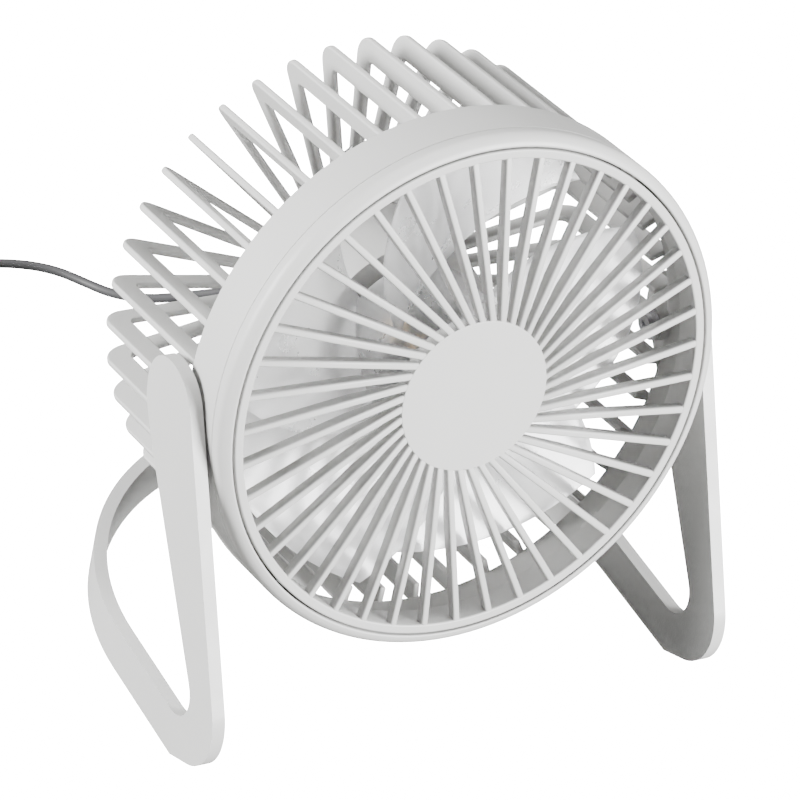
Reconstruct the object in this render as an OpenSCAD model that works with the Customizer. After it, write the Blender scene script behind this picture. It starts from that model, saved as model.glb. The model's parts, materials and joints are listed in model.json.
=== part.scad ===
// Small USB desk fan. A round fan head tilts between the ends of a one-piece U-shaped stand.
// The front of the fan faces -Y, +X is its right-hand side seen from the front, and +Z is up.
// The origin is on the floor, under the middle of the fan's outline. Sizes are in millimetres.
// Inside the head, "depth" is the distance behind the grille's front plane, along the fan's axis.

/* [Head] */
// Inner radius of the front grille's ring
grille_r = 62; // [50:0.5:80]
// Outer radius of the head
head_r = 68; // [56:0.5:88]
// Depth of the head, from the grille's front to the back of the motor pod
head_depth = 69.8; // [50:0.1:90]
// Depth at which the closed housing ends and the cage's fins begin
duct_depth = 18.6; // [14:0.1:30]
// Depth of the front bezel, where it meets the housing
bezel_depth = 5; // [3:0.1:9]
// How far the fan looks up at rest, in degrees
rest_tilt = 11.3; // [0:0.1:20]

/* [Grille] */
// Number of slanted ribs
rib_count = 43; // [20:1:60]
// Width of a rib
rib_w = 1.8; // [1:0.1:3]
// How far each rib's line passes from the fan's axis
rib_offset = 7.4; // [0:0.1:15]
// Angle of the first rib's outer end, anticlockwise from +X, in degrees
rib_phase = 3.3; // [0:0.1:8]
// Radius of the disc in the middle of the grille
grille_disc_r = 19.9; // [12:0.1:26]

/* [Cage] */
// Depth of the back of the cage
cage_depth = 68.8; // [49:0.1:89]
// Number of fins round the cage
fin_count = 40; // [16:1:60]
// Thickness of a fin
fin_t = 1.75; // [1:0.05:3]
// Radius of the fins' outer edges
fin_outer_r = 67; // [56:0.5:87]
// Radius of the fins' inner edges
fin_inner_r = 61.1; // [50:0.5:80]
// Radius of the rounded outer corner of a fin
fin_corner = 5.8; // [2:0.1:5.8]
// Outer radius of the motor pod
pod_r = 23.5; // [18:0.5:28]
// Radius of the rear hub, where the fins meet
rear_hub_r = 26; // [24:0.5:31]

/* [Impeller] */
// Number of blades
blade_count = 5; // [3:1:7]
// Radius of the blade tips
tip_r = 57.5; // [45:0.5:60]
// Radius of the impeller's hub
hub_r = 20; // [14:0.5:22]
// Depth of the blades' front edges
blade_front = 12.4; // [10:0.1:16]
// Depth of the blades' rear edges
blade_rear = 34; // [26:0.1:35]

/* [Stand] */
// Height of the tilt axis above the floor
pivot_h = 84.3; // [84.3:0.1:110]
// Half of the stand's outer width
stand_half_w = 72; // [60:0.5:92]
// Thickness of the stand's band
stand_t = 3.4; // [2.4:0.1:5]
// Height of the band along the floor
limb_h = 11.8; // [6:0.1:16]
// Radius of the round cap at the tilt axis
cap_r = 12.1; // [8:0.1:16]
// Radius of the rounded front foot
foot_r = 15.5; // [10:0.1:20]

/* [Lead] */
// Diameter of the USB lead
cord_d = 2.5; // [2:0.1:4]
// Diameter of the coil at the middle of its turns
coil_mid_d = 30; // [24:1:40]

/* [Hidden] */
$fn = 64;
eps = 0.01;
pivot_depth = 20.5;             // the tilt axis crosses the fan's axis here
foot_y = -31.9;                 // centre of the foot's round, from the tilt axis
foot_z = 18;
heel_y = -30.1;                 // the flat edge on the floor starts here
notch_r = 7.75;                 // round between the leg and the limb
notch_y = -26.7;
rear_arc_y = 2.5;               // centre of the stand's rear half circle
stand_inner = stand_half_w - stand_t;
mid_y = (rear_arc_y + stand_half_w + foot_y - foot_r) / 2;

ring_r = 64.4;                  // outside of the grille's ring
ring_depth = 7.6;
bezel_inner_r = 64.9;
bezel_round = 3.1;
duct_r = 65;                    // inside of the housing
rebate_r = 66.5;
rebate_depth = 10;
rear_bar = 5.3;                 // thickness of the fins where they cross the back
fin_inner_corner = 2;

boss_r = 4.8;                   // pivot bosses on the housing, along X
boss_x = 62;
boss_end_x = 68.2;
pin_r = 3.25;
pin_fit = 0.05;
pin_end_x = 61.7;
washer_t = 0.6;
screw_r = 0.9;

pod_front = 36;
pod_wall = 1.5;
pod_inner = pod_r - pod_wall;
pod_floor = 38.5;               // back of the pod's front wall
cap_front = 67.6;               // inner face of the rear cap
can_r = 12;
can_rear = 56.5;
shaft_r = 1;
shaft_fit = 0.03;
bushing_r = 3;
rear_bushing_r = 2.5;
motor_screw_x = 8.5;
cap_screw_x = 19.6;
terminal_x = 6.5;

board_front = 60.6;
board_rear = 61.8;
button_y = 8;                   // above the fan's axis
button_r = 3.2;
button_fit = 0.3;
relief_y = -13;                 // the lead leaves below the fan's axis
relief_end = 82;

tie_t = 0.6;
coil_half = 2 * cord_d;         // half of the coil's radial width
coil_h = 4.08 * cord_d;
coil_centre = [-72, 132.5];
plug_x = -86.4;
plug_z = 3.5;
plug_rear = 100;                // the plug points towards -Y
plug_len = 18;
plug_w = 14.5;
shell_len = 12;
shell_w = 12;
shell_h = 4.5;
shell_t = 0.3;

// Centre line of the lead, in three stretches: with the head, across the floor, and to the plug
tail_route = [
    [0, 44.2, 59.5], [-0.5, 50.5, 57.8], [-1.3, 57, 54.5], [-2.1, 61.5, 51.4], [-2.7, 64.6, 49.1]];
floor_route = [
    [-2.9, 65.7, 48.2], [-3.8, 70, 44.9], [-4.8, 75, 41], [-5.8, 80, 36.9], [-6.9, 85, 32.9],
    [-7.7, 90, 28.9], [-8.5, 95, 24.9], [-9, 100, 21], [-9.3, 105, 17.2], [-9.5, 110, 13.7],
    [-9.7, 115, 10.3], [-10, 120, 7.2], [-10.4, 124, 5], [-11.2, 128, 3.2], [-12.5, 132, 2],
    [-14.6, 136, 1.4], [-18, 140.5, 1.25], [-22.5, 144.2, 1.25], [-28, 147, 1.25],
    [-34.5, 149, 1.25], [-42, 150.3, 1.3], [-50, 151, 1.5], [-58, 151.2, 1.7],
    [-65, 151.25, 1.85], [-72, 151.25, 1.85]];
plug_route = [
    [-86.4, 132.5, 9.5], [-86.4, 127, 9.5], [-86.4, 123, 9.1], [-86.4, 119, 7.8],
    [-86.4, 115, 5.9], [-86.4, 111.5, 4.5], [-86.4, 108, 3.8], [-86.4, 106, 3.5]];

// Points of a round stretch, for polygons
function arc(centre, r, from, to, steps) =
    [for (i = [0:steps]) let (a = from + (to - from) * i / steps) centre + r * [cos(a), sin(a)]];

// Direction from one circle's centre in which its outer or crossing tangent to another touches it
function tangent_angle(c1, r1, c2, r2, side) =
    let (d = c2 - c1) atan2(d[1], d[0]) + side * acos((r1 - r2) / norm(d));

// Places a part that is drawn about the fan's axis, with its front plane at z = 0
module head() {
    translate([0, -mid_y, pivot_h]) rotate([90 - rest_tilt, 0, 0]) translate([0, 0, pivot_depth])
        children();
}

// Round bar between two depths
module rod(r, from, to) {
    translate([0, 0, -to]) cylinder(h = to - from, r = r);
}

module tube(outer, inner, from, to) {
    difference() {
        rod(outer, from, to);
        rod(inner, from - eps, to + eps);
    }
}

// Turns an outline given as (radius, depth)
module turned() {
    mirror([0, 0, 1]) rotate_extrude() children();
}

module both_sides() {
    children();
    mirror([1, 0, 0]) children();
}

// Round bar along X on the tilt axis
module pivot_bar(r, from, to) {
    translate([from, 0, -pivot_depth]) rotate([0, 90, 0]) cylinder(h = to - from, r = r);
}

// Tube of round section swept along a route, with a ring at each point
function ring_at(route, i, r, sides) =
    let (
        last = len(route) - 1,
        along = route[min(i + 1, last)] - route[max(i - 1, 0)],
        ahead = along / norm(along),
        side = cross(ahead, [0, 0, 1]) / norm(cross(ahead, [0, 0, 1])),
        up = cross(side, ahead))
    [for (k = [0:sides - 1]) route[i] + r * (side * cos(360 * k / sides) + up * sin(360 * k / sides))];

module swept(route, r, sides = 8) {
    rings = len(route);
    points = [for (i = [0:rings - 1]) each ring_at(route, i, r, sides)];
    walls = [for (i = [0:rings - 2], k = [0:sides - 1])
        let (a = i * sides + k, b = i * sides + (k + 1) % sides)
        each [[a, b, b + sides], [a, b + sides, a + sides]]];
    start = [for (k = [sides - 1:-1:0]) k];
    end = [for (k = [0:sides - 1]) (rings - 1) * sides + k];
    polyhedron(points = points, faces = concat([start, end], walls), convexity = 8);
}

// ---- Front ----

module rib_plan() {
    for (i = [0:rib_count - 1])
        rotate(rib_phase - acos(rib_offset / grille_r) + i * 360 / rib_count)
            translate([rib_offset - rib_w / 2, sqrt(pow(grille_disc_r - 1, 2) - pow(rib_offset, 2))])
                square([rib_w, grille_r - grille_disc_r + 2]);
}

module front_grille() {
    rib_depths = [[10, 0], [63, 0], [63, 2.4], [33.5, 3.2], [19, 1.6], [10, 1.6]];
    clip = [[63.2, 7], [ring_r, 7], [ring_r, 8.2], [66.2, 8.2], [65.4, 9.7], [63.2, 9.7]];
    clip_angle = 5;
    color([0.84, 0.84, 0.82]) head() {
        rod(grille_disc_r, 0, 1.8);
        tube(grille_disc_r, grille_disc_r - 1.4, 0.5, 4);
        tube(ring_r, grille_r, 0, ring_depth);
        intersection() {
            translate([0, 0, -4]) linear_extrude(4) rib_plan();
            turned() polygon(rib_depths);
        }
        for (a = [45:90:315])
            rotate([0, 0, a]) mirror([0, 0, 1]) rotate_extrude(angle = clip_angle) polygon(clip);
    }
}

module front_bezel() {
    lip_r = rebate_r - 0.1;
    lip_depth = 8;
    front_round = arc([head_r - bezel_round, bezel_round], bezel_round, -90, 0, 8);
    outline = concat([[bezel_inner_r, 0.3]], front_round, [
        [head_r, bezel_depth], [lip_r, bezel_depth], [lip_r, lip_depth], [duct_r, lip_depth],
        [duct_r, bezel_depth], [bezel_inner_r, bezel_depth]]);
    color([0.84, 0.84, 0.82]) head() turned() polygon(outline);
}

// ---- Housing, cage and motor pod ----
// One moulding, in four nodes: the housing, the cage's bars, the rear grille and the motor pod.

module rear_housing() {
    wall = [
        [rebate_r, bezel_depth], [head_r, bezel_depth], [head_r, duct_depth], [duct_r, duct_depth],
        [duct_r, rebate_depth], [rebate_r, rebate_depth]];
    color([0.86, 0.86, 0.84]) head() difference() {
        union() {
            turned() polygon(wall);
            both_sides() pivot_bar(boss_r, boss_x, boss_end_x);
        }
        both_sides() pivot_bar(pin_r + pin_fit, boss_x - 1, boss_end_x + 1);
    }
}

// Stands an outline given as (radius, depth) on end, as a plate at each fin's place
module fins() {
    for (i = [0:fin_count - 1])
        rotate([0, 0, i * 360 / fin_count]) rotate([-90, 0, 0])
            linear_extrude(fin_t, center = true) children();
}

module cage_bars() {
    corner = [fin_outer_r - fin_corner, cage_depth - fin_corner];
    outline = concat(
        [[fin_inner_r, duct_depth], [fin_outer_r, duct_depth]],
        arc(corner, fin_corner, 0, 90, 6),
        [[fin_inner_r, cage_depth]]);
    color([0.86, 0.86, 0.84]) head() difference() {
        fins() polygon(outline);
        both_sides() pivot_bar(boss_r, boss_x - 8, boss_end_x + 1);
    }
}

module rear_grille() {
    front = cage_depth - rear_bar;
    hollow = [fin_inner_r - fin_inner_corner, front - fin_inner_corner];
    outline = concat(
        [[rear_hub_r - 1, cage_depth], [rear_hub_r - 1, front]],
        arc(hollow, fin_inner_corner, 90, 0, 3),
        [[fin_inner_r, cage_depth]]);
    color([0.86, 0.86, 0.84]) head() {
        fins() polygon(outline);
        tube(rear_hub_r, pod_r, front, cage_depth);
    }
}

module motor_pod() {
    seat_r = can_r + 0.05;
    color([0.86, 0.86, 0.84]) head() {
        difference() {
            rod(pod_r, pod_front, head_depth);
            rod(pod_inner, pod_floor, head_depth + 1);
            rod(bushing_r + 0.1, pod_front - 1, pod_floor + 1);
            both_sides() translate([motor_screw_x, 0, 0]) rod(screw_r + 0.15, pod_front - 1, pod_floor + 1);
        }
        tube(seat_r + 1.2, seat_r, pod_floor - 0.5, 45);
        both_sides() difference() {
            intersection() {
                translate([cap_screw_x, 0, 0]) rod(2.6, 58, cap_front);
                rod(pod_inner + 0.5, 57, head_depth);
            }
            translate([cap_screw_x, 0, 0]) rod(screw_r, 60, head_depth);
        }
    }
}

module rear_cap() {
    color([0.84, 0.84, 0.82]) head() difference() {
        rod(pod_inner - 0.1, cap_front, head_depth);
        translate([0, button_y, 0]) rod(button_r + button_fit, cap_front - 1, head_depth + 1);
        translate([0, relief_y, 0]) rod(2.3, cap_front - 1, head_depth + 1);
        both_sides() translate([cap_screw_x, 0, 0]) {
            rod(screw_r + 0.2, cap_front - 1, head_depth + 1);
            rod(1.9, head_depth - 1.2, head_depth + 1);
        }
    }
}

module cap_screws() {
    color([0.7, 0.7, 0.72]) head() both_sides() translate([cap_screw_x, 0, 0]) difference() {
        union() {
            rod(screw_r, 61, head_depth - 1);
            rod(1.7, head_depth - 1.2, head_depth - 0.1);
        }
        cross_slot(head_depth - 0.6, head_depth + 1);
    }
}

// Cross recess in a screw's head, between two depths
module cross_slot(from, to) {
    for (a = [0, 90])
        rotate([0, 0, a]) translate([-1.1, -0.25, -to]) cube([2.2, 0.5, to - from]);
}

// ---- Motor ----

module motor_can() {
    color([0.72, 0.72, 0.74]) head() difference() {
        rod(can_r, pod_floor, can_rear);
        rod(can_r - 1, pod_floor + 1, can_rear + 1);
        rod(bushing_r, pod_floor - 1, pod_floor + 2);
        both_sides() translate([motor_screw_x, 0, 0]) rod(screw_r, pod_floor - 1, pod_floor + 2);
    }
}

module motor_screws() {
    color([0.7, 0.7, 0.72]) head() both_sides() translate([motor_screw_x, 0, 0]) difference() {
        union() {
            rod(screw_r, pod_front - 0.5, pod_floor + 1.5);
            rod(1.7, pod_front - 1.3, pod_front);
        }
        cross_slot(pod_front - 2, pod_front - 0.7);
    }
}

module motor_magnets() {
    magnet_angle = 140;
    color([0.2, 0.2, 0.22]) head()
        for (a = [0, 180])
            rotate([0, 0, a - magnet_angle / 2]) mirror([0, 0, 1])
                rotate_extrude(angle = magnet_angle) translate([8.8, 41]) square([2.2, 12.5]);
}

module motor_end_cap() {
    color([0.9, 0.9, 0.88]) head() difference() {
        union() {
            rod(can_r, can_rear, can_rear + 2);
            rod(can_r - 1, can_rear - 1.2, can_rear + 1);
        }
        rod(9.6, can_rear - 2, can_rear);
        rod(rear_bushing_r, can_rear - 2, can_rear + 3);
        both_sides() translate([terminal_x - 0.25, -1, -can_rear - 3]) cube([0.5, 2, 6]);
    }
}

module motor_bushings() {
    color([0.72, 0.55, 0.28]) head() {
        tube(bushing_r, shaft_r + shaft_fit, pod_front + 0.5, pod_floor + 2.5);
        tube(rear_bushing_r, shaft_r + shaft_fit, can_rear - 0.2, can_rear + 2);
    }
}

module motor_brushes() {
    color([0.8, 0.6, 0.35]) head() both_sides() {
        translate([terminal_x - 0.25, -1, -can_rear - 3.4]) cube([0.5, 2, 5]);
        translate([2.8, -1, -can_rear + 1.1]) cube([terminal_x - 2.6, 2, 0.5]);
    }
}

module motor_shaft() {
    color([0.75, 0.75, 0.77]) head() rod(shaft_r, 16, can_rear + 2.5);
}

module motor_armature() {
    slot_angle = 120;
    color([0.65, 0.35, 0.2]) head() difference() {
        rod(8.2, 42, 52.5);
        rod(shaft_r, 41, 54);
        for (a = [0:slot_angle:240])
            rotate([0, 0, a]) translate([4, -0.8, -54]) cube([6, 1.6, 14]);
    }
}

module motor_commutator() {
    color([0.8, 0.55, 0.35]) head() tube(2.4, shaft_r, 53, can_rear - 0.5);
}

// ---- Impeller ----

// Angle of a blade's front or rear edge at a radius, anticlockwise from +X
function front_edge(r) = 65.7 - 0.9 * (r - 22);
function rear_edge(r) = -8 - 0.73 * (r - 22);

// A point of a blade, from its front edge (0) to its rear edge (1); rise moves it along the axis
function blade_point(r, along, rise) =
    let (
        a = front_edge(r) + (rear_edge(r) - front_edge(r)) * along,
        bulge = 1.4 * sin(180 * along),
        depth = blade_front + (blade_rear - blade_front) * along - bulge)
    [r * cos(a), r * sin(a), -depth + rise];

module blade() {
    spans = 6;
    chords = 8;
    blade_t = 1.6;
    root = hub_r - 1;
    radii = [for (i = [0:spans]) root + (tip_r - root) * i / spans];
    row = chords + 1;
    layer = (spans + 1) * row;
    points = [for (rise = [0, -blade_t], r = radii, j = [0:chords])
        blade_point(r, j / chords, rise * (0.5 + 0.5 * sin(180 * j / chords)))];
    front = [for (i = [0:spans - 1], j = [0:chords - 1])
        let (a = i * row + j)
        each [[a, a + row, a + row + 1], [a, a + row + 1, a + 1]]];
    back = [for (f = front) [f[2] + layer, f[1] + layer, f[0] + layer]];
    edge = concat(
        [for (j = [0:chords]) j],
        [for (i = [1:spans]) i * row + chords],
        [for (j = [chords - 1:-1:0]) spans * row + j],
        [for (i = [spans - 1:-1:1]) i * row]);
    rim = [for (k = [0:len(edge) - 1])
        let (a = edge[k], b = edge[(k + 1) % len(edge)])
        each [[a, b, b + layer], [a, b + layer, a + layer]]];
    polyhedron(points = points, faces = concat(front, back, rim), convexity = 6);
}

module impeller() {
    hub_front = 12.5;
    hub_rear = 33;
    wall = 1.5;
    color([0.95, 0.95, 0.95]) head() {
        difference() {
            rod(hub_r, hub_front, hub_rear);
            rod(hub_r - wall, hub_front + 1.8, hub_rear + 1);
        }
        difference() {
            rod(3.2, hub_front + 1, 28);
            rod(shaft_r, 16, 29);
        }
        difference() {
            for (k = [0:blade_count - 1]) rotate([0, 0, k * 360 / blade_count]) blade();
            rod(hub_r - wall / 2, blade_front - 5, blade_rear + 5);
        }
    }
}

// ---- Switch and wiring ----

module circuit_board() {
    color([0.2, 0.45, 0.3]) head()
        translate([-12, -11, -board_rear]) cube([24, 27, board_rear - board_front]);
}

module switch_body() {
    color([0.15, 0.15, 0.16]) head() translate([0, button_y, 0]) difference() {
        translate([-4, -4, -65]) cube([8, 8, 65 - board_rear]);
        rod(1.5, 62.4, 66);
    }
}

module switch_button() {
    color([0.9, 0.9, 0.9]) head() translate([0, button_y, 0]) {
        rod(1.2, 63.6, 66.5);
        rod(4.2, 66.2, 67.2);
        rod(button_r, 67, head_depth + 1);
    }
}

module lead_wires() {
    color([0.7, 0.1, 0.1]) head() both_sides()
        translate([terminal_x, 0, 0]) rod(0.5, can_rear + 3.4, board_front);
}

// ---- USB lead ----

module strain_relief() {
    outline = [
        [0, 65.8], [3.6, 65.8], [3.6, cap_front], [2.3, cap_front], [2.3, head_depth],
        [2.8, head_depth], [1.7, relief_end], [0, relief_end]];
    color([0.25, 0.25, 0.26]) head() translate([0, relief_y, 0]) turned() polygon(outline);
}

module cord_tail() {
    color([0.25, 0.25, 0.26]) swept(tail_route, cord_d / 2);
}

module power_cord() {
    color([0.25, 0.25, 0.26]) swept(floor_route, cord_d / 2);
}

module plug_cord() {
    color([0.25, 0.25, 0.26]) swept(plug_route, cord_d / 2);
}

module cord_coil() {
    color([0.25, 0.25, 0.26]) translate([coil_centre[0], coil_centre[1], tie_t]) rotate_extrude()
        translate([coil_mid_d / 2 - coil_half, 0]) square([2 * coil_half, coil_h]);
}

// Band round the coil's turns
module cord_tie() {
    tie_angle = 13;
    color([0.1, 0.1, 0.1]) translate([coil_centre[0], coil_centre[1], 0])
        rotate([0, 0, 270 - tie_angle / 2]) rotate_extrude(angle = tie_angle)
            translate([coil_mid_d / 2 - coil_half, tie_t]) difference() {
                translate([-tie_t, -tie_t]) square([2 * (coil_half + tie_t), coil_h + 2 * tie_t]);
                square([2 * coil_half, coil_h]);
            }
}

// Box whose middle lies on the plug's axis, between two places along Y
module plug_block(width, height, from, to) {
    translate([plug_x - width / 2, from, plug_z - height / 2]) cube([width, to - from, height]);
}

module usb_plug_body() {
    color([0.2, 0.2, 0.21]) {
        difference() {
            plug_block(plug_w, 2 * plug_z, plug_rear - plug_len, plug_rear);
            plug_block(shell_w, shell_h, plug_rear - plug_len - 1, plug_rear - plug_len + 4);
        }
        translate([plug_x, plug_rear - eps, plug_z]) rotate([-90, 0, 0])
            cylinder(h = 6 + eps, r1 = 2.6, r2 = 1.7);
    }
}

module usb_plug_shell() {
    front = plug_rear - plug_len - shell_len;
    color([0.78, 0.78, 0.8]) difference() {
        plug_block(shell_w, shell_h, front, plug_rear - plug_len + 4);
        plug_block(shell_w - 2 * shell_t, shell_h - 2 * shell_t, front - 1, plug_rear - plug_len);
        for (side = [-1, 1])
            translate([plug_x + side * 2.8 - 1.1, front + 4, plug_z]) cube([2.2, 2.2, shell_h]);
    }
}

module usb_plug_tongue() {
    front = plug_rear - plug_len - shell_len + 0.6;
    color([0.92, 0.92, 0.9])
        translate([plug_x - shell_w / 2 + shell_t, front, plug_z - shell_h / 2 + shell_t])
            cube([shell_w - 2 * shell_t, plug_rear - plug_len - front, 1.9]);
}

module usb_plug_contacts() {
    contact_pitch = 2.3;
    front = plug_rear - plug_len - shell_len + 1.5;
    color([0.85, 0.7, 0.3])
        for (i = [-1.5:1:1.5])
            translate([plug_x + i * contact_pitch - 0.5, front, plug_z - shell_h / 2 + shell_t + 1.9])
                cube([1, 8, 0.15]);
}

// ---- Stand ----

// Side outline as (distance behind the tilt axis, height)
module stand_side() {
    cap = [0, pivot_h];
    foot = [foot_y, foot_z];
    notch = [notch_y, limb_h + notch_r];
    heel = [heel_y, 0];
    front_a = tangent_angle(cap, cap_r, foot, foot_r, -1) + 360;
    rear_a = tangent_angle(cap, cap_r, notch, -notch_r, 1);
    under_a = tangent_angle(heel, 0, foot, foot_r, 1);
    rear_end = rear_arc_y + stand_half_w + 5;
    outline = concat(
        arc(cap, cap_r, rear_a, front_a, 32),
        arc(foot, foot_r, front_a, under_a, 16),
        [heel, [rear_end, 0], [rear_end, limb_h]],
        arc(notch, notch_r, 270, rear_a + 180, 12));
    polygon(outline);
}

module stand_plan(r) {
    translate([0, rear_arc_y]) circle(r);
    translate([-r, foot_y - foot_r - 5]) square([2 * r, rear_arc_y - foot_y + foot_r + 5]);
}

module stand_frame() {
    height = pivot_h + cap_r + 5;
    color([0.86, 0.86, 0.84]) translate([0, -mid_y, 0]) {
        intersection() {
            linear_extrude(height) difference() {
                stand_plan(stand_half_w);
                stand_plan(stand_inner);
            }
            translate([-stand_half_w - 5, 0, 0]) rotate([90, 0, 90])
                linear_extrude(2 * stand_half_w + 10) stand_side();
        }
        both_sides() translate([pin_end_x, 0, pivot_h]) rotate([0, 90, 0]) difference() {
            cylinder(h = stand_inner - pin_end_x + 1, r = pin_r);
            translate([0, 0, -1]) cylinder(h = 6.5, r = screw_r);
        }
    }
}

module pivot_washers() {
    color([0.75, 0.75, 0.77]) translate([0, -mid_y, pivot_h]) both_sides()
        translate([pin_end_x - washer_t, 0, 0]) rotate([0, 90, 0]) difference() {
            cylinder(h = washer_t, r = 4.5);
            translate([0, 0, -1]) cylinder(h = washer_t + 2, r = screw_r);
        }
}

module pivot_screws() {
    head_x = pin_end_x - washer_t - 1.4;
    color([0.6, 0.6, 0.62]) translate([0, -mid_y, pivot_h]) both_sides()
        translate([head_x, 0, 0]) rotate([0, 90, 0]) difference() {
            union() {
                cylinder(h = 1.4, r = 2.6);
                cylinder(h = 7, r = screw_r);
            }
            cross_slot(-0.7, 1);
        }
}

stand_frame();
pivot_screws();
pivot_washers();
front_grille();
front_bezel();
rear_housing();
cage_bars();
rear_grille();
motor_pod();
rear_cap();
cap_screws();
motor_can();
motor_screws();
motor_magnets();
motor_end_cap();
motor_bushings();
motor_brushes();
motor_shaft();
motor_armature();
motor_commutator();
impeller();
circuit_board();
switch_body();
switch_button();
lead_wires();
strain_relief();
cord_tail();
power_cord();
cord_coil();
cord_tie();
plug_cord();
usb_plug_body();
usb_plug_shell();
usb_plug_tongue();
usb_plug_contacts();
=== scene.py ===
"""Looks for a small USB desk fan: a round head with a slanted grille and a finned cage, in a stand.

Lengths are in metres unless a name ends in _MM. Inside the head, depth is the distance behind the
grille's front plane along the fan's axis, and an angle of 0 points to x, as RIGHT does.
"""
import json
from math import acos, cos, pi, radians, sin, sqrt

import bmesh
import bpy
from mathutils import Matrix, Vector


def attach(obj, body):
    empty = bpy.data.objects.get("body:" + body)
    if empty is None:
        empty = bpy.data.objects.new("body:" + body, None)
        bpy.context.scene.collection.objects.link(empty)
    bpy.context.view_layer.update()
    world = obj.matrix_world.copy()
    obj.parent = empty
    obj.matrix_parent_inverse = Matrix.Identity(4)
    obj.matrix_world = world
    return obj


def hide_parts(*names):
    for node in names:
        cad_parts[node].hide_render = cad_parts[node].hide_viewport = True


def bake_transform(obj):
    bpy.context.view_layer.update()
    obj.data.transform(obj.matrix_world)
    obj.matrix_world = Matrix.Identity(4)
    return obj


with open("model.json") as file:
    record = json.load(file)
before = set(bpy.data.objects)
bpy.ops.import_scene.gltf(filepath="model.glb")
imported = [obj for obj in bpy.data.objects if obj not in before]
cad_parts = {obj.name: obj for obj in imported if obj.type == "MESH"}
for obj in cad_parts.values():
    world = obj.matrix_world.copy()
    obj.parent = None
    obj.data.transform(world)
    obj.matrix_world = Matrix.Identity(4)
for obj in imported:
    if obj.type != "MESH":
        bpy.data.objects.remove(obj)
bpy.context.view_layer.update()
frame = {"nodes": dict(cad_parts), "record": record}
MM = 0.001

# ---- Where things are ----

JOINTS = {joint["name"]: joint for joint in frame["record"]["behaviour"]["joints"]}
PIVOT = Vector(JOINTS["head_tilt"]["pos_m"])
FORWARD = Vector(JOINTS["impeller_spin"]["axis"])
PIVOT_DEPTH = 20.5 * MM
RIGHT = Vector((1, 0, 0))
UP_THE_FACE = FORWARD.cross(RIGHT)


def head_point(x, y, depth):
    """A point of the head: x to its right, y up its face, and depth behind its front plane."""
    return PIVOT + RIGHT * x + UP_THE_FACE * y + FORWARD * (PIVOT_DEPTH - depth)


def polar(radius, angle, depth):
    """A point of the head from its radius and its angle in degrees."""
    return head_point(radius * cos(radians(angle)), radius * sin(radians(angle)), depth)


# ---- Camera, floor and lights ----

CAMERA_AT = Vector((-0.5627, -0.8116, 0.7950))
LOOKING_ALONG = Vector((0.4588, 0.6590, -0.5960))
CAMERA_UP = Vector((0.1552, 0.6011, 0.7840))
LENS_MM = 224.1
SENSOR_MM = 36
# The backdrop's white glow as the camera sees it, and how many times stronger it is through the blades
BACKDROP_GLOW = 24
GLOW_THROUGH_BLADES = 2
WORLD_STRENGTH = 0.18


def facing(ahead, up):
    """Rotation that looks along ahead, with up as near to the picture's top as it can be."""
    back = -ahead.normalized()
    right = up.cross(back).normalized()
    return Matrix((right, back.cross(right), back)).transposed().to_4x4()


def add_camera():
    camera = bpy.data.objects.new("camera", bpy.data.cameras.new("camera"))
    bpy.context.collection.objects.link(camera)
    camera.matrix_world = Matrix.Translation(CAMERA_AT) @ facing(LOOKING_ALONG, CAMERA_UP)
    camera.data.sensor_width = SENSOR_MM
    camera.data.lens = LENS_MM
    camera.data.clip_start = 0.01
    camera.data.clip_end = 20
    bpy.context.scene.camera = camera


def seen_directly(nodes, links):
    """1 for rays from the camera, GLOW_THROUGH_BLADES for those that pass through a blade, else 0."""
    path = nodes.new("ShaderNodeLightPath")
    unscattered = nodes.new("ShaderNodeMath")
    unscattered.operation = "LESS_THAN"
    unscattered.inputs[1].default_value = 0.5
    links.new(path.outputs["Diffuse Depth"], unscattered.inputs[0])
    through = nodes.new("ShaderNodeMath")
    through.operation = "MULTIPLY"
    passed = times(nodes, links, path.outputs["Is Transmission Ray"], GLOW_THROUGH_BLADES)
    links.new(passed, through.inputs[0])
    links.new(unscattered.outputs["Value"], through.inputs[1])
    either = nodes.new("ShaderNodeMath")
    either.operation = "MAXIMUM"
    links.new(path.outputs["Is Camera Ray"], either.inputs[0])
    links.new(through.outputs["Value"], either.inputs[1])
    return either.outputs["Value"]


def add_floor():
    """A matt grey floor that looks plain white to the camera."""
    bpy.ops.mesh.primitive_plane_add(size=8)
    floor = bpy.context.object
    floor.name = "floor"
    material, nodes, links, shader = new_material("floor")
    mottle = mapped(nodes, links, noise(nodes, links, 3), 0, 1)
    grey = tinted(nodes, links, mottle, (0.12, 0.12, 0.12), (0.13, 0.13, 0.13))
    links.new(grey, shader.inputs["Base Color"])
    shader.inputs["Roughness"].default_value = 0.9
    shader.inputs["Emission Color"].default_value = (1, 1, 1, 1)
    glow = times(nodes, links, seen_directly(nodes, links), BACKDROP_GLOW)
    links.new(glow, shader.inputs["Emission Strength"])
    floor.data.materials.append(material)


def add_light(name, at, target, size, watts):
    data = bpy.data.lights.new(name, "AREA")
    data.size = size
    data.energy = watts
    light = bpy.data.objects.new(name, data)
    bpy.context.collection.objects.link(light)
    ahead = Vector(target) - Vector(at)
    light.matrix_world = Matrix.Translation(Vector(at)) @ facing(ahead, Vector((0, 0.1, 1)))


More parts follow.
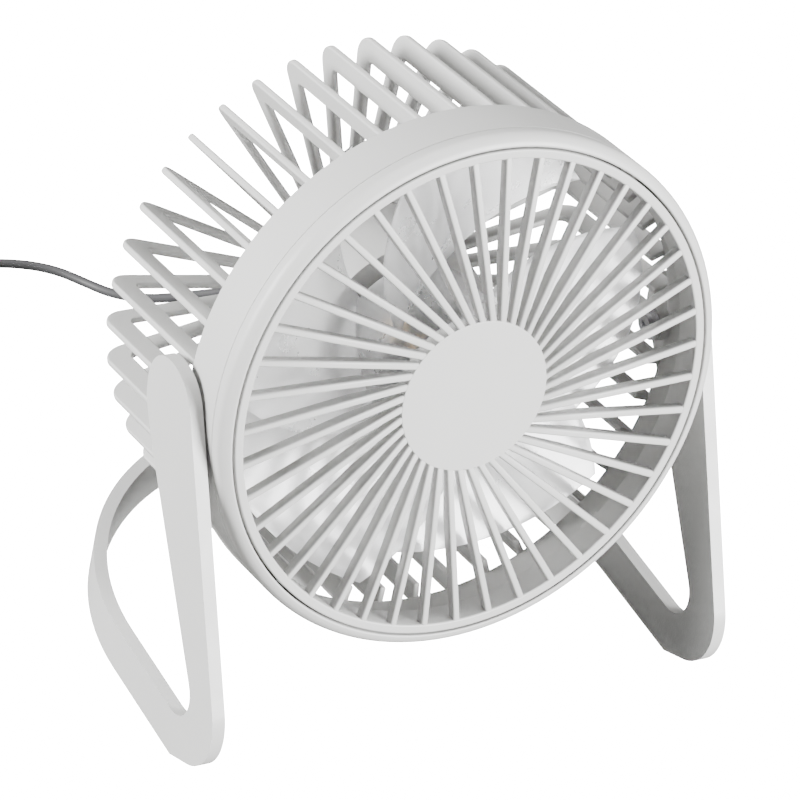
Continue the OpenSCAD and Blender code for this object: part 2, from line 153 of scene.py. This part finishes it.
def add_lights():
    middle = (0, 0, 0.08)
    add_light("front", (0.7, -1.3, 0.5), middle, 0.6, 100)
    add_light("side", (-1.3, 0.45, 0.6), middle, 0.7, 82)
    add_light("top", (0.1, 0.3, 1.5), middle, 0.8, 14)
    world = bpy.data.worlds.new("studio")
    world.use_nodes = True
    nodes = world.node_tree.nodes
    links = world.node_tree.links
    nodes["Background"].inputs["Color"].default_value = (1, 1, 1, 1)
    glow = nodes.new("ShaderNodeMath")
    glow.operation = "ADD"
    glow.inputs[1].default_value = WORLD_STRENGTH
    links.new(times(nodes, links, seen_directly(nodes, links), BACKDROP_GLOW), glow.inputs[0])
    links.new(glow.outputs["Value"], nodes["Background"].inputs["Strength"])
    bpy.context.scene.world = world


# ---- Materials ----

GRAIN_HEIGHT = 0.2 * MM


def times(nodes, links, value, factor):
    """A shader value multiplied by a number."""
    node = nodes.new("ShaderNodeMath")
    node.operation = "MULTIPLY"
    node.inputs[1].default_value = factor
    links.new(value, node.inputs[0])
    return node.outputs["Value"]


def new_material(name):
    material = bpy.data.materials.new(name)
    material.use_nodes = True
    nodes = material.node_tree.nodes
    return material, nodes, material.node_tree.links, nodes["Principled BSDF"]


def noise(nodes, links, scale, detail=4, roughness=0.6):
    """Noise in the object's own metres: scale is its number of blotches to a metre."""
    place = nodes.new("ShaderNodeTexCoord")
    texture = nodes.new("ShaderNodeTexNoise")
    texture.inputs["Scale"].default_value = scale
    texture.inputs["Detail"].default_value = detail
    texture.inputs["Roughness"].default_value = roughness
    links.new(place.outputs["Object"], texture.inputs["Vector"])
    return texture.outputs["Fac"]


def mapped(nodes, links, value, low, high):
    """Brings a noise's usual span to low..high."""
    node = nodes.new("ShaderNodeMapRange")
    node.inputs["From Min"].default_value = 0.3
    node.inputs["From Max"].default_value = 0.7
    node.inputs["To Min"].default_value = low
    node.inputs["To Max"].default_value = high
    links.new(value, node.inputs["Value"])
    return node.outputs["Result"]


def add_bump(nodes, links, shader, height, strength):
    bump = nodes.new("ShaderNodeBump")
    bump.inputs["Strength"].default_value = strength
    bump.inputs["Distance"].default_value = GRAIN_HEIGHT
    links.new(height, bump.inputs["Height"])
    links.new(bump.outputs["Normal"], shader.inputs["Normal"])


def tinted(nodes, links, value, dark, light):
    """Colour that goes from dark to light with a value."""
    mix = nodes.new("ShaderNodeMix")
    mix.data_type = "RGBA"
    mix.inputs["A"].default_value = (*dark, 1)
    mix.inputs["B"].default_value = (*light, 1)
    links.new(value, mix.inputs["Factor"])
    return mix.outputs["Result"]


def painted(name, colour, roughness=0.5, spread=0.03, grain=1500, bump=0.04, metallic=0.0):
    """Plastic or metal with a faint mottle, a fine grain and a slightly uneven gloss."""
    material, nodes, links, shader = new_material(name)
    mottle = mapped(nodes, links, noise(nodes, links, 40), 0, 1)
    fine = noise(nodes, links, grain, detail=2)
    darker = tuple(c * (1 - spread) for c in colour)
    links.new(tinted(nodes, links, mottle, darker, colour), shader.inputs["Base Color"])
    links.new(mapped(nodes, links, noise(nodes, links, 90), roughness - 0.04, roughness + 0.04),
              shader.inputs["Roughness"])
    shader.inputs["Metallic"].default_value = metallic
    add_bump(nodes, links, shader, fine, bump)
    return material


def frosted(name, colour):
    """Thin milky plastic that things behind show through."""
    material, nodes, links, shader = new_material(name)
    cloud = mapped(nodes, links, noise(nodes, links, 60, detail=6), 0, 1)
    darker = tuple(c * 0.95 for c in colour)
    links.new(tinted(nodes, links, cloud, darker, colour), shader.inputs["Base Color"])
    links.new(mapped(nodes, links, noise(nodes, links, 120), 0.26, 0.36), shader.inputs["Roughness"])
    shader.inputs["Transmission Weight"].default_value = 0.65
    shader.inputs["IOR"].default_value = 1.2
    add_bump(nodes, links, shader, noise(nodes, links, 700, detail=2), 0.03)
    return material


def make_materials():
    return {
        "shell_plastic": painted("shell_plastic", (0.50, 0.50, 0.49), roughness=0.42, spread=0.02),
        "blade_plastic": frosted("blade_plastic", (0.96, 0.96, 0.96)),
        "cord_rubber": painted("cord_rubber", (0.05, 0.05, 0.052), roughness=0.55, grain=2500),
        "dark_plastic": painted("dark_plastic", (0.03, 0.03, 0.032), roughness=0.5),
        "steel": painted("steel", (0.60, 0.60, 0.61), roughness=0.3, metallic=1.0, bump=0.02),
        "bronze": painted("bronze", (0.72, 0.50, 0.26), roughness=0.35, metallic=1.0),
        "copper_winding": painted("copper_winding", (0.55, 0.22, 0.10), roughness=0.35, metallic=1.0),
        "magnet": painted("magnet", (0.07, 0.07, 0.075), roughness=0.6, metallic=0.6),
        "nylon": painted("nylon", (0.80, 0.79, 0.74), roughness=0.5),
        "board": painted("board", (0.03, 0.16, 0.07), roughness=0.35),
        "wire_red": painted("wire_red", (0.45, 0.02, 0.02), roughness=0.5),
    }


# ---- Mesh helpers ----

WELD_DISTANCE = 0.01 * MM
SHARP_ANGLE = radians(35)


def add_mesh(name, points, faces, body, slot):
    """A smooth-shaded piece with its material, which rides a body if one is named."""
    mesh = bpy.data.meshes.new(name)
    mesh.from_pydata([tuple(p) for p in points], [], faces)
    shape = bmesh.new()
    shape.from_mesh(mesh)
    bmesh.ops.recalc_face_normals(shape, faces=shape.faces)
    shape.to_mesh(mesh)
    shape.free()
    piece = bpy.data.objects.new(name, mesh)
    bpy.context.collection.objects.link(piece)
    mesh.polygons.foreach_set("use_smooth", [True] * len(mesh.polygons))
    piece.data.materials.append(MATERIALS[slot])
    if body:
        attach(piece, body)
    return piece


def arc(centre, radius, start, end, steps):
    """Points of a round stretch of an outline, from one angle to another in degrees."""
    angles = [radians(start + (end - start) * i / steps) for i in range(steps + 1)]
    return [(centre[0] + radius * cos(a), centre[1] + radius * sin(a)) for a in angles]


def turned_mesh(outline_mm, points, faces):
    """Adds a shape turned about the fan's axis, from its outline as (radius, depth)."""
    segments = 160
    first = len(points)
    for k in range(segments):
        points += [polar(r * MM, 360 * k / segments, d * MM) for r, d in outline_mm]
    size = len(outline_mm)
    for k in range(segments):
        a = first + k * size
        b = first + (k + 1) % segments * size
        faces += [(a + i, b + i, b + (i + 1) % size, a + (i + 1) % size) for i in range(size)]


def even_out(piece):
    """Shades flat faces flat where they meet rounded ones."""
    even = piece.modifiers.new("even", "WEIGHTED_NORMAL")
    even.keep_sharp = False


def soften(piece, width, segments=2, clamp=True):
    """Rounds a piece's sharp edges and evens out its shading."""
    weld = piece.modifiers.new("weld", "WELD")
    weld.merge_threshold = WELD_DISTANCE
    bevel = piece.modifiers.new("bevel", "BEVEL")
    bevel.width = width
    bevel.segments = segments
    bevel.use_clamp_overlap = clamp
    bevel.limit_method = "ANGLE"
    bevel.angle_limit = SHARP_ANGLE
    even_out(piece)


# ---- The USB lead ----

CORD_D = 2.5 * MM
COIL_CENTRE_MM = Vector((-72, 132.5, 0))
COIL_TURNS = 10.25
COIL_TURNS_PER_LAYER = 3
COIL_OUTER_R_MM = 18.75
COIL_FIRST_Z_MM = 1.85
COIL_LAYER_MM = 2.55
COIL_STEPS = 24
CLIMB = 1 / 12
TAIL_ROUTE_MM = [
    (0, 44.2, 59.5), (-0.5, 50.5, 57.8), (-1.3, 57, 54.5), (-2.1, 61.5, 51.4), (-2.7, 64.6, 49.1)]
FLOOR_ROUTE_MM = [
    (-3.8, 70, 44.9), (-4.8, 75, 41), (-5.8, 80, 36.9), (-6.9, 85, 32.9), (-7.7, 90, 28.9),
    (-8.5, 95, 24.9), (-9, 100, 21), (-9.3, 105, 17.2), (-9.5, 110, 13.7), (-9.7, 115, 10.3),
    (-10, 120, 7.2), (-10.4, 124, 5), (-11.2, 128, 3.2), (-12.5, 132, 2), (-14.6, 136, 1.4),
    (-18, 140.5, 1.25), (-22.5, 144.2, 1.25), (-28, 147, 1.25), (-34.5, 149, 1.25),
    (-42, 150.3, 1.3), (-50, 151, 1.5), (-58, 151.2, 1.7), (-65, 151.25, 1.85)]
PLUG_ROUTE_MM = [
    (-86.4, 127, 9.5), (-86.4, 123, 9.1), (-86.4, 119, 7.8), (-86.4, 115, 5.9), (-86.4, 111.5, 4.5),
    (-86.4, 108, 3.8), (-86.4, 106, 3.5)]


def coil_point(turn):
    """A point of the coil in millimetres: three turns inwards, then three outwards on top, and so on."""
    layer = int(turn // COIL_TURNS_PER_LAYER)
    within = turn - layer * COIL_TURNS_PER_LAYER
    inwards = within if layer % 2 == 0 else COIL_TURNS_PER_LAYER - within
    radius = COIL_OUTER_R_MM - CORD_D / MM * inwards
    nearest = round(turn / COIL_TURNS_PER_LAYER)
    past = turn - nearest * COIL_TURNS_PER_LAYER
    climb = min(max((past + CLIMB) / (2 * CLIMB), 0), 1)
    ease = climb * climb * (3 - 2 * climb)
    levels = max(nearest - 1, 0) + ease if nearest > 0 else 0
    angle = pi / 2 + 2 * pi * turn
    height = COIL_FIRST_Z_MM + COIL_LAYER_MM * levels
    return COIL_CENTRE_MM + Vector((radius * cos(angle), radius * sin(angle), height))


def lead_route():
    """The lead's whole centre line in metres, from the strain relief to the plug."""
    points = [Vector(p) for p in TAIL_ROUTE_MM + FLOOR_ROUTE_MM]
    points += [coil_point(i / COIL_STEPS) for i in range(int(COIL_TURNS * COIL_STEPS) + 1)]
    points += [Vector(p) for p in PLUG_ROUTE_MM]
    return [p * MM for p in rounded_line(points, 3)]


def rounded_line(points, parts):
    """Points of a smooth curve through the given points."""
    line = []
    for i in range(len(points) - 1):
        before = points[max(i - 1, 0)]
        start = points[i]
        end = points[i + 1]
        after = points[min(i + 2, len(points) - 1)]
        for k in range(parts):
            t = k / parts
            a = (end - before) * 0.5
            b = (after - start) * 0.5
            line.append(start * (2 * t**3 - 3 * t**2 + 1) + a * (t**3 - 2 * t**2 + t)
                        + end * (3 * t**2 - 2 * t**3) + b * (t**3 - t**2))
    line.append(points[-1])
    return line


def add_tube(name, route, radius, body, slot):
    """A round tube along a route, with closed ends."""
    sides = 12
    points = []
    for i, p in enumerate(route):
        ahead = (route[min(i + 1, len(route) - 1)] - route[max(i - 1, 0)]).normalized()
        side = ahead.cross(Vector((0, 0, 1))).normalized()
        up = side.cross(ahead)
        for k in range(sides):
            a = 2 * pi * k / sides
            points.append(p + radius * (side * cos(a) + up * sin(a)))
    faces = []
    for i in range(len(route) - 1):
        a = i * sides
        b = a + sides
        faces += [(a + k, a + (k + 1) % sides, b + (k + 1) % sides, b + k) for k in range(sides)]
    faces.append(tuple(range(sides - 1, -1, -1)))
    faces.append(tuple(range((len(route) - 1) * sides, len(route) * sides)))
    return add_mesh(name, points, faces, body, slot)


def add_lead():
    """The lead from the strain relief to the plug, as one tube."""
    route = lead_route()
    lead = add_tube("usb_lead", route, CORD_D / 2, None, "cord_rubber")
    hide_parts("cord_tail", "power_cord", "cord_coil", "plug_cord")
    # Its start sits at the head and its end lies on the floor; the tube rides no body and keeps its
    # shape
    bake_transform(lead)


# ---- Impeller ----

BLADES = 5
HUB_R_MM = 20
HUB_FRONT_MM = 12.5
HUB_REAR_MM = 33
HUB_WALL_MM = 1.5
TIP_R_MM = 57.5
HUB_ROUND_MM = 2.5
HUB_FLOOR_MM = 14.6
BLADE_FRONT_MM = 12.4
BLADE_REAR_MM = 34
BLADE_BULGE_MM = 1.4
BLADE_ROOT_MM = HUB_R_MM - 0.7
BLADE_EDGE_T_MM = 0.55
BLADE_EXTRA_T_MM = 1.05
# The angles of a blade's front and rear edges at a radius of 22 mm, and how they change with each mm
EDGES_AT_MM = 22
FRONT_EDGE = (65.7, -0.9)
REAR_EDGE = (-8, -0.73)


def blade_point(radius, along, thickness):
    """A point of a blade in millimetres: along runs from its front edge to its rear edge."""
    front = FRONT_EDGE[0] + FRONT_EDGE[1] * (radius - EDGES_AT_MM)
    rear = REAR_EDGE[0] + REAR_EDGE[1] * (radius - EDGES_AT_MM)
    bulge = BLADE_BULGE_MM * sin(pi * along)
    depth = BLADE_FRONT_MM + (BLADE_REAR_MM - BLADE_FRONT_MM) * along - bulge
    return radius, front + (rear - front) * along, depth + thickness


def blade_mesh(turn, points, faces):
    """Adds one blade: two skins that draw together near its front, rear and outer edges."""
    spans = 20
    chords = 30
    first = len(points)
    for side in (0, 1):
        for i in range(spans + 1):
            across = i / spans
            radius = BLADE_ROOT_MM + (TIP_R_MM - BLADE_ROOT_MM) * across
            for j in range(chords + 1):
                along = j / chords
                edge = min(along, 1 - along, (1 - across) * 0.8 + 0.01)
                thickness = BLADE_EDGE_T_MM + BLADE_EXTRA_T_MM * min(edge / 0.18, 1) ** 0.6
                r, angle, depth = blade_point(radius, along, side * thickness)
                points.append(polar(r * MM, angle + turn, depth * MM))
    row = chords + 1
    layer = (spans + 1) * row
    for i in range(spans):
        for j in range(chords):
            a = first + i * row + j
            faces.append((a, a + row, a + row + 1, a + 1))
            faces.append((a + layer, a + layer + 1, a + layer + row + 1, a + layer + row))
    rim = [first + j for j in range(chords)]
    rim += [first + i * row + chords for i in range(spans)]
    rim += [first + spans * row + j for j in range(chords, 0, -1)]
    rim += [first + i * row for i in range(spans, 0, -1)]
    for a, b in zip(rim, rim[1:] + rim[:1]):
        faces.append((a, b, b + layer, a + layer))


def add_impeller():
    """The milky impeller: a turned hub with a boss for the shaft, and the blades."""
    points = []
    faces = []
    inside = HUB_R_MM - HUB_WALL_MM
    round_centre = (HUB_R_MM - HUB_ROUND_MM, HUB_FRONT_MM + HUB_ROUND_MM)
    hub = arc(round_centre, HUB_ROUND_MM, -90, 0, 8) + [
        (HUB_R_MM, HUB_REAR_MM), (inside, HUB_REAR_MM), (inside, HUB_FLOOR_MM), (3.4, HUB_FLOOR_MM),
        (3.2, 28), (1, 28), (1, 16), (0.05, 16), (0.05, HUB_FRONT_MM)]
    turned_mesh(hub, points, faces)
    for k in range(BLADES):
        blade_mesh(360 * k / BLADES, points, faces)
    impeller = add_mesh("impeller_moulding", points, faces, "impeller", "blade_plastic")
    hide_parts("impeller")
    even_out(impeller)


# ---- Cage ----

FINS = 40
FIN_T_MM = 1.75
FIN_OUTER_R_MM = 67
FIN_INNER_R_MM = 61.1
FIN_FRONT_MM = 18
CAGE_REAR_MM = 68.8
REAR_BAR_MM = 5.3
FIN_CORNER_MM = 5.8
FIN_ROUND_MM = 0.55
FIN_HOLLOW_MM = 2
REAR_HUB_R_MM = 26
FIN_INTO_HUB_MM = 1
POD_R_MM = 23.5


def fin_outline():
    """A fin's side as (radius, depth): along the head's side and across its back to the rear hub."""
    rear_front = CAGE_REAR_MM - REAR_BAR_MM
    corner = (FIN_OUTER_R_MM - FIN_CORNER_MM, CAGE_REAR_MM - FIN_CORNER_MM)
    hollow = (FIN_INNER_R_MM - FIN_HOLLOW_MM, rear_front - FIN_HOLLOW_MM)
    hub = REAR_HUB_R_MM - FIN_INTO_HUB_MM
    return ([(FIN_INNER_R_MM, FIN_FRONT_MM), (FIN_OUTER_R_MM, FIN_FRONT_MM)]
            + arc(corner, FIN_CORNER_MM, 0, 90, 10) + [(hub, CAGE_REAR_MM), (hub, rear_front)]
            + arc(hollow, FIN_HOLLOW_MM, 90, 0, 5))


def add_cage():
    """The cage's fins and rear hub ring, with the fins rounded all along."""
    outline = fin_outline()
    size = len(outline)
    points = []
    faces = []
    for k in range(FINS):
        angle = radians(360 * k / FINS)
        outwards = RIGHT * cos(angle) + UP_THE_FACE * sin(angle)
        across = UP_THE_FACE * cos(angle) - RIGHT * sin(angle)
        first = len(points)
        for side in (-0.5, 0.5):
            aside = across * side * FIN_T_MM
            points += [head_point(0, 0, d * MM) + (outwards * r + aside) * MM for r, d in outline]
        faces.append(tuple(range(first, first + size)))
        faces.append(tuple(range(first + 2 * size - 1, first + size - 1, -1)))
        for i in range(size):
            j = (i + 1) % size
            faces.append((first + j, first + i, first + i + size, first + j + size))
    ring_front = CAGE_REAR_MM - REAR_BAR_MM
    ring = [(POD_R_MM, ring_front), (REAR_HUB_R_MM, ring_front),
            (REAR_HUB_R_MM, CAGE_REAR_MM), (POD_R_MM, CAGE_REAR_MM)]
    turned_mesh(ring, points, faces)
    cage = add_mesh("cage_moulding", points, faces, "head", "shell_plastic")
    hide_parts("cage_bars", "rear_grille")
    soften(cage, FIN_ROUND_MM * MM, segments=3)


# ---- Front grille ----

RIBS = 43
RIB_W_MM = 1.8
RIB_OFFSET_MM = 7.4
RIB_PHASE = radians(3.3)
# The depth of a rib's back at three radii
RIB_DEPTHS_MM = [(18.5, 1.6), (33.5, 3.2), (62.4, 2.4)]
RIB_FRONT_MM = 0.06
RIB_ROUND_MM = 0.5
DISC_R_MM = 19.9
DISC_ROUND_MM = 0.25
DISC_T_MM = 1.8
DISC_SKIRT_MM = 4
DISC_SKIRT_T_MM = 1.4
GRILLE_R_MM = 62
RING_R_MM = 64.4
RING_DEPTH_MM = 7.6
CLIP_MM = [(63.2, 7), (RING_R_MM, 7), (RING_R_MM, 8.2), (66.2, 8.2), (65.4, 9.7), (63.2, 9.7)]
CLIP_ANGLE = 5
CLIP_STARTS = (45, 135, 225, 315)


def rib_section(depth):
    """A rib's section as (across, depth), with rounded front edges."""
    half = RIB_W_MM / 2 - RIB_ROUND_MM
    round_at = RIB_FRONT_MM + RIB_ROUND_MM
    return (arc((-half, round_at), RIB_ROUND_MM, 180, 270, 5)
            + arc((half, round_at), RIB_ROUND_MM, 270, 360, 5)
            + [(RIB_W_MM / 2, depth), (-RIB_W_MM / 2, depth)])


def rib_mesh(turn, points, faces):
    """Adds one slanted rib, which gets deeper and then shallower on its way out."""
    first = len(points)
    for radius, depth in RIB_DEPTHS_MM:
        along = sqrt(radius**2 - RIB_OFFSET_MM**2)
        for across, back in rib_section(depth):
            x = RIB_OFFSET_MM + across
            points.append(head_point((x * cos(turn) - along * sin(turn)) * MM,
                                     (x * sin(turn) + along * cos(turn)) * MM, back * MM))
    size = len(rib_section(RIB_FRONT_MM))
    for station in range(len(RIB_DEPTHS_MM) - 1):
        a = first + size * station
        b = a + size
        faces += [(a + i, a + (i + 1) % size, b + (i + 1) % size, b + i) for i in range(size)]
    faces.append(tuple(range(first + size - 1, first - 1, -1)))
    last = first + size * (len(RIB_DEPTHS_MM) - 1)
    faces.append(tuple(range(last, last + size)))


def clip_mesh(start, points, faces):
    """Adds one of the snap clips behind the grille's ring."""
    first = len(points)
    size = len(CLIP_MM)
    for angle in (start, start - CLIP_ANGLE):
        points += [polar(r * MM, angle, d * MM) for r, d in CLIP_MM]
    last = first + size
    faces += [(first + i, first + (i + 1) % size, last + (i + 1) % size, last + i)
              for i in range(size)]
    faces.append(tuple(range(first + size - 1, first - 1, -1)))
    faces.append(tuple(range(last, last + size)))


def add_grille():
    """The grille's ring, ribs and disc, with the ribs rounded all along."""
    points = []
    faces = []
    ring_edges = (arc((GRILLE_R_MM + RIB_ROUND_MM, RIB_ROUND_MM), RIB_ROUND_MM, 180, 270, 5)
                  + arc((RING_R_MM - RIB_ROUND_MM, RIB_ROUND_MM), RIB_ROUND_MM, 270, 360, 5))
    turned_mesh(ring_edges + [(RING_R_MM, RING_DEPTH_MM), (GRILLE_R_MM, RING_DEPTH_MM)], points, faces)
    disc_edge = arc((DISC_R_MM - DISC_ROUND_MM, DISC_ROUND_MM), DISC_ROUND_MM, -90, 0, 5)
    skirt_inside = DISC_R_MM - DISC_SKIRT_T_MM
    turned_mesh([(0.02, 0)] + disc_edge + [
        (DISC_R_MM, DISC_SKIRT_MM), (skirt_inside, DISC_SKIRT_MM), (skirt_inside, DISC_T_MM),
        (0.02, DISC_T_MM)], points, faces)
    first_rib = RIB_PHASE - acos(RIB_OFFSET_MM / GRILLE_R_MM)
    for i in range(RIBS):
        rib_mesh(first_rib + 2 * pi * i / RIBS, points, faces)
    for angle in CLIP_STARTS:
        clip_mesh(angle, points, faces)
    grille = add_mesh("grille_moulding", points, faces, "head", "shell_plastic")
    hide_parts("front_grille")
    even_out(grille)


# ---- Putting it together ----

MATERIALS = make_materials()
EDGE_WIDTH_MM = {
    "stand_frame": 0.9, "front_bezel": 0.35, "rear_housing": 0.35, "rear_cap": 0.3, "motor_pod": 0.4,
    "switch_button": 0.3, "usb_plug_body": 0.8, "usb_plug_shell": 0.1}
# Their small faces would hold their rounding back, though there is room for it
ROOMY_NODES = ("front_bezel", "rear_housing")


def finish_cad_nodes():
    """Every CAD node gets its material, and those listed in EDGE_WIDTH_MM get softer edges."""
    slots = {part["node"]: part["material_slot"] for part in frame["record"]["subparts"]}
    for name, node in frame["nodes"].items():
        material = MATERIALS[slots[name]]
        for slot in node.material_slots:
            slot.material = material
        if name in EDGE_WIDTH_MM:
            soften(node, EDGE_WIDTH_MM[name] * MM, clamp=name not in ROOMY_NODES)


add_camera()
add_lead()
add_impeller()
add_cage()
add_grille()
add_floor()
add_lights()
finish_cad_nodes()
